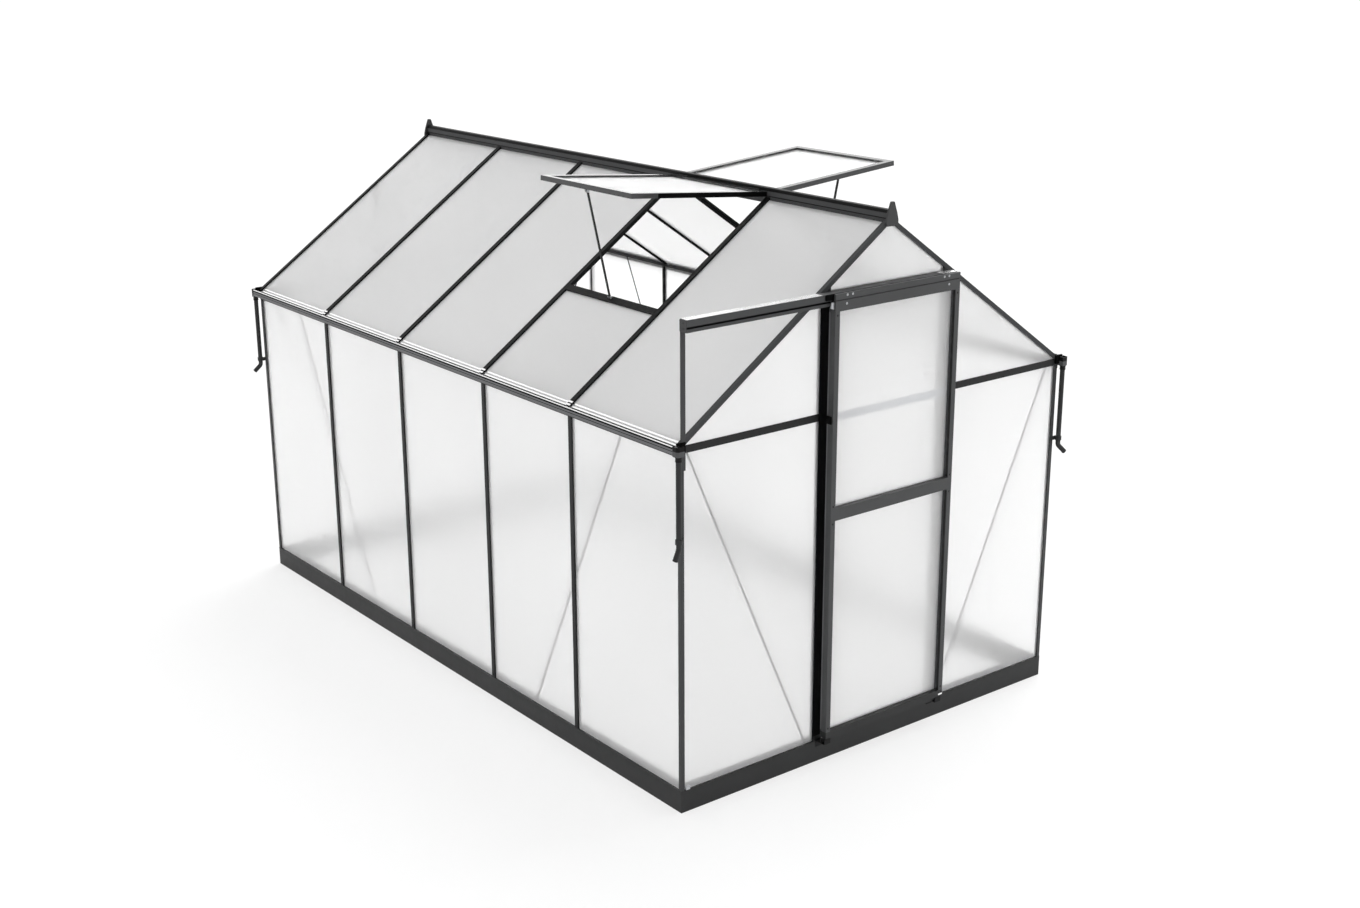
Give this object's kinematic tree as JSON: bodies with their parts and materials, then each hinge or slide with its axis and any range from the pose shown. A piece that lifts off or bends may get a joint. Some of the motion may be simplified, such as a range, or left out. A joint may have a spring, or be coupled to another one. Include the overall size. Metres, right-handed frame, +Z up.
{
  "type": "greenhouse",
  "caption": "Walk-in greenhouse with translucent twin-wall panes in a dark metal frame, a pitched roof with propped roof vents, gutters with downpipes, and a top-hung sliding door.",
  "frame": {"origin": "middle of the whole object's box at ground level, on the underside of the base frame", "axes": "+X to the right seen from the door, +Y from the door towards the back, +Z up"},
  "size_m": [1.9618, 3.205, 2.0547],
  "materials": {
    "frame": "anthracite powder coat, satin",
    "base": "anthracite coated sheet steel",
    "glazing": "translucent twin-wall sheet",
    "bare_metal": "mill finish",
    "trim": "dark moulded plastic"
  },
  "bodies": {
    "house": {"base_front_rail": "base", "base_back_rail": "base", "base_left_rail": "base", "base_right_rail": "base", "corner_posts": "frame", "left_wall_posts": "frame", "right_wall_posts": "frame", "left_wall_panes": "glazing", "right_wall_panes": "glazing", "side_wall_braces": "bare_metal", "left_eave_beam": "frame", "right_eave_beam": "frame", "left_gutter": "frame", "right_gutter": "frame", "gutter_end_caps": "trim", "downpipes": "trim", "ridge_bar": "frame", "ridge_finials": "trim", "left_roof_bars": "frame", "right_roof_bars": "frame", "gable_rafters": "frame", "left_roof_panes": "glazing", "right_roof_panes": "glazing", "vent_sills": "frame", "left_vent_frame": "frame", "right_vent_frame": "frame", "vent_panes": "glazing", "vent_props": "frame", "door_posts": "frame", "gable_head_bar": "frame", "front_eave_bars": "frame", "front_wall_panes": "glazing", "back_wall_posts": "frame", "back_eave_bars": "frame", "back_wall_panes": "glazing", "gable_braces": "bare_metal", "door_track": "frame", "track_strut": "frame", "door_bottom_guides": "trim"},
    "door": {"door_stiles": "frame", "door_bottom_rail": "frame", "door_mid_rail": "frame", "door_top_rail": "frame", "door_hanger": "frame", "door_panes": "glazing", "door_stiffener": "bare_metal", "door_rollers": "trim"}
  },
  "joints": [
    {"name": "door_slide", "type": "slide", "parent": "house", "child": "door", "axis": [-1, 0, 0], "range_m": [0, 0.575]}
  ]
}
